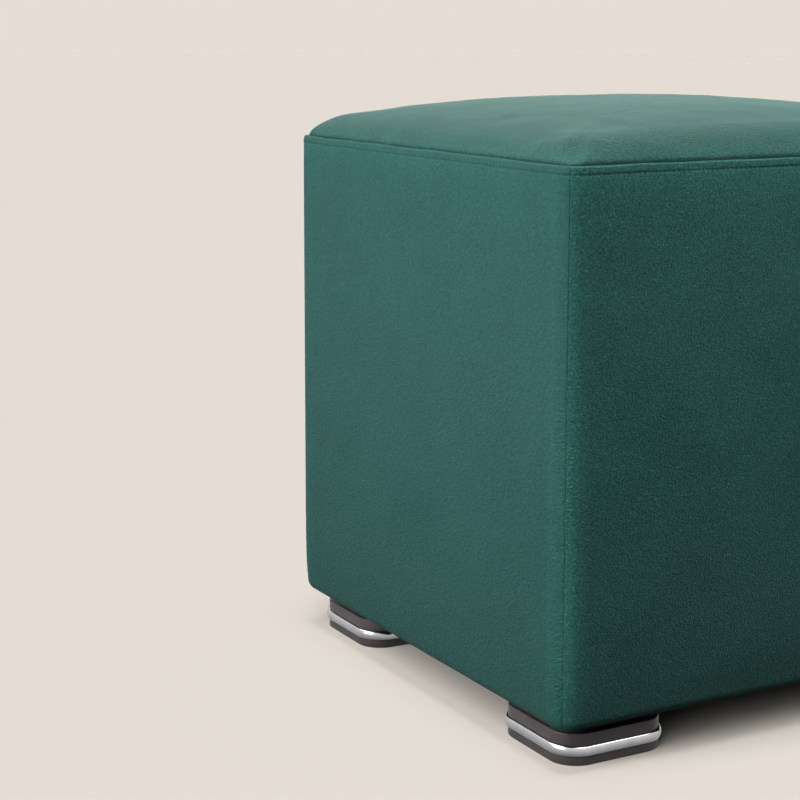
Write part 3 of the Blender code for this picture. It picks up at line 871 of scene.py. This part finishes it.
turned = Matrix((right, -down, -forward)).transposed().to_4x4()
cameraObject.matrix_world = Matrix.Translation(camera["place"]) @ turned
scene.camera = cameraObject

studio = {
    "backdrop": "#e6ded5",       # its own glow, as the camera sees it
    "floor": "#8a857f",
    "radius": 30.0, "backdropHeight": 14.0, "segments": 96,
    "skyLight": (0.0, 0.03),     # soft light from below and above
    "skyEdge": (-0.15, 0.15),    # heights on the unit sphere between which that changes
    "skyShine": (0.18, 1.08),    # the same sky as polished metal mirrors it
}
# the floor's own suns: direction that they shine from, strength and angular size in degrees
floorSuns = {
    "window": ((-0.71, -0.31, 0.63), 8.5, 60),
    "overhead": ((-0.05, -0.04, 1.0), 2.5, 16),
    "low": ((-0.95, -0.05, 0.30), 5.7, 30),
}
# softboxes: place, power in watts, width, height aimed at and spread of the beam in degrees
softboxes = {
    "key": ((-1.30, 0.15, 1.50), 7.3, 1.0, 0.22, 180),
    "keyLow": ((-1.60, -0.14, 0.80), 3.65, 1.0, 0.37, 70),
    "keyBehind": ((-1.20, 0.90, 1.50), 6.8, 1.0, 0.22, 180),
    "fill": ((-0.08, -0.98, 1.35), 8.5, 0.8, 0.22, 180),
    "right": ((0.80, -0.64, 1.58), 14.3, 1.0, 0.22, 180),
    "behind": ((0.90, 1.60, 0.70), 4.0, 1.0, 0.22, 180),
    "side": ((1.70, 0.15, 0.50), 4.5, 1.0, 0.22, 180),
}


def addStage(name, vertices, faces, material):
    # floor or backdrop, which isn't part of the object
    mesh = bpy.data.meshes.new(name)
    mesh.from_pydata(vertices, [], faces)
    mesh.materials.append(material)
    item = addObject(name, mesh)
    return item


def addLight(name, kind, direction, place=(0, 0, 0), **settings):
    # a lamp that shines from the direction towards the object
    lamp = bpy.data.lights.new(name, kind)
    for key, value in settings.items():
        setattr(lamp, key, value)
    item = addObject(name, lamp)
    item.location = place
    item.rotation_mode = "QUATERNION"
    item.rotation_quaternion = Vector(direction).to_track_quat("Z", "Y")
    return item


turns = np.linspace(0, 2 * math.pi, studio["segments"], endpoint=False)
rim = [(studio["radius"] * math.cos(t), studio["radius"] * math.sin(t), 0.0) for t in turns]
upper = [(x, y, studio["backdropHeight"]) for x, y, _ in rim]
floorPaint, _ = newMaterial("matt floor paint", **{
    "Base Color": hexToLinear(studio["floor"]), "Roughness": 1.0, "Specular IOR Level": 0.0})
floor = addStage("floor", rim, [list(range(len(rim)))], floorPaint)
paper, _ = newMaterial("backdrop paper", **{
    "Base Color": (0, 0, 0, 1), "Specular IOR Level": 0.0,
    "Emission Color": hexToLinear(studio["backdrop"]), "Emission Strength": 1.0})
backdrop = addStage("backdrop", rim + upper, gridQuads(2, len(rim)).tolist(), paper)
# the backdrop is seen by the camera and lights nothing
for ray in ("diffuse", "glossy", "transmission", "shadow"):
    setattr(backdrop, "visible_" + ray, False)

world = bpy.data.worlds.new("studio")
world.use_nodes = True
upward = addNode(world, "SeparateXYZ", {"Vector": addNode(world, "TexCoord", out="Generated")}, out="Z")
soft = addNode(world, "MapRange", {
    "Value": upward, "From Min": studio["skyEdge"][0], "From Max": studio["skyEdge"][1],
    "To Min": studio["skyLight"][0], "To Max": studio["skyLight"][1]})
shine = addNode(world, "MapRange", {
    "Value": upward, "From Min": -1.0, "From Max": 1.0,
    "To Min": studio["skyShine"][0], "To Max": studio["skyShine"][1]})
mirrored = addNode(world, "LightPath", out="Is Glossy Ray")
strength = addNode(world, "Mix", {0: mirrored, 2: soft, 3: shine})
background = world.node_tree.nodes["Background"]
background.inputs["Color"].default_value = (1, 1, 1, 1)
world.node_tree.links.new(strength, background.inputs["Strength"])
scene.world = world
# the softboxes and the sky light the object, not the floor's bounce, and the metal mirrors the sky
floor.visible_diffuse = False
floor.visible_glossy = False
floorOnly = bpy.data.collections.new("floor only")
floorOnly.objects.link(floor)
flagged = bpy.data.collections.new("flagged off the floor")
flagged.objects.link(floor)
flagged.collection_objects[0].light_linking.link_state = "EXCLUDE"
for name, (direction, strength, size) in floorSuns.items():
    sun = addLight(name, "SUN", direction, energy=strength, angle=size * degree)
    sun.light_linking.receiver_collection = floorOnly
for name, (place, power, width, aimHeight, spread) in softboxes.items():
    direction = Vector(place) - Vector((0, 0, aimHeight))
    lamp = addLight(name, "AREA", direction, place, energy=power, size=width, spread=spread * degree)
    lamp.light_linking.receiver_collection = flagged
scene.view_settings.view_transform = "Standard"
print("studio made")
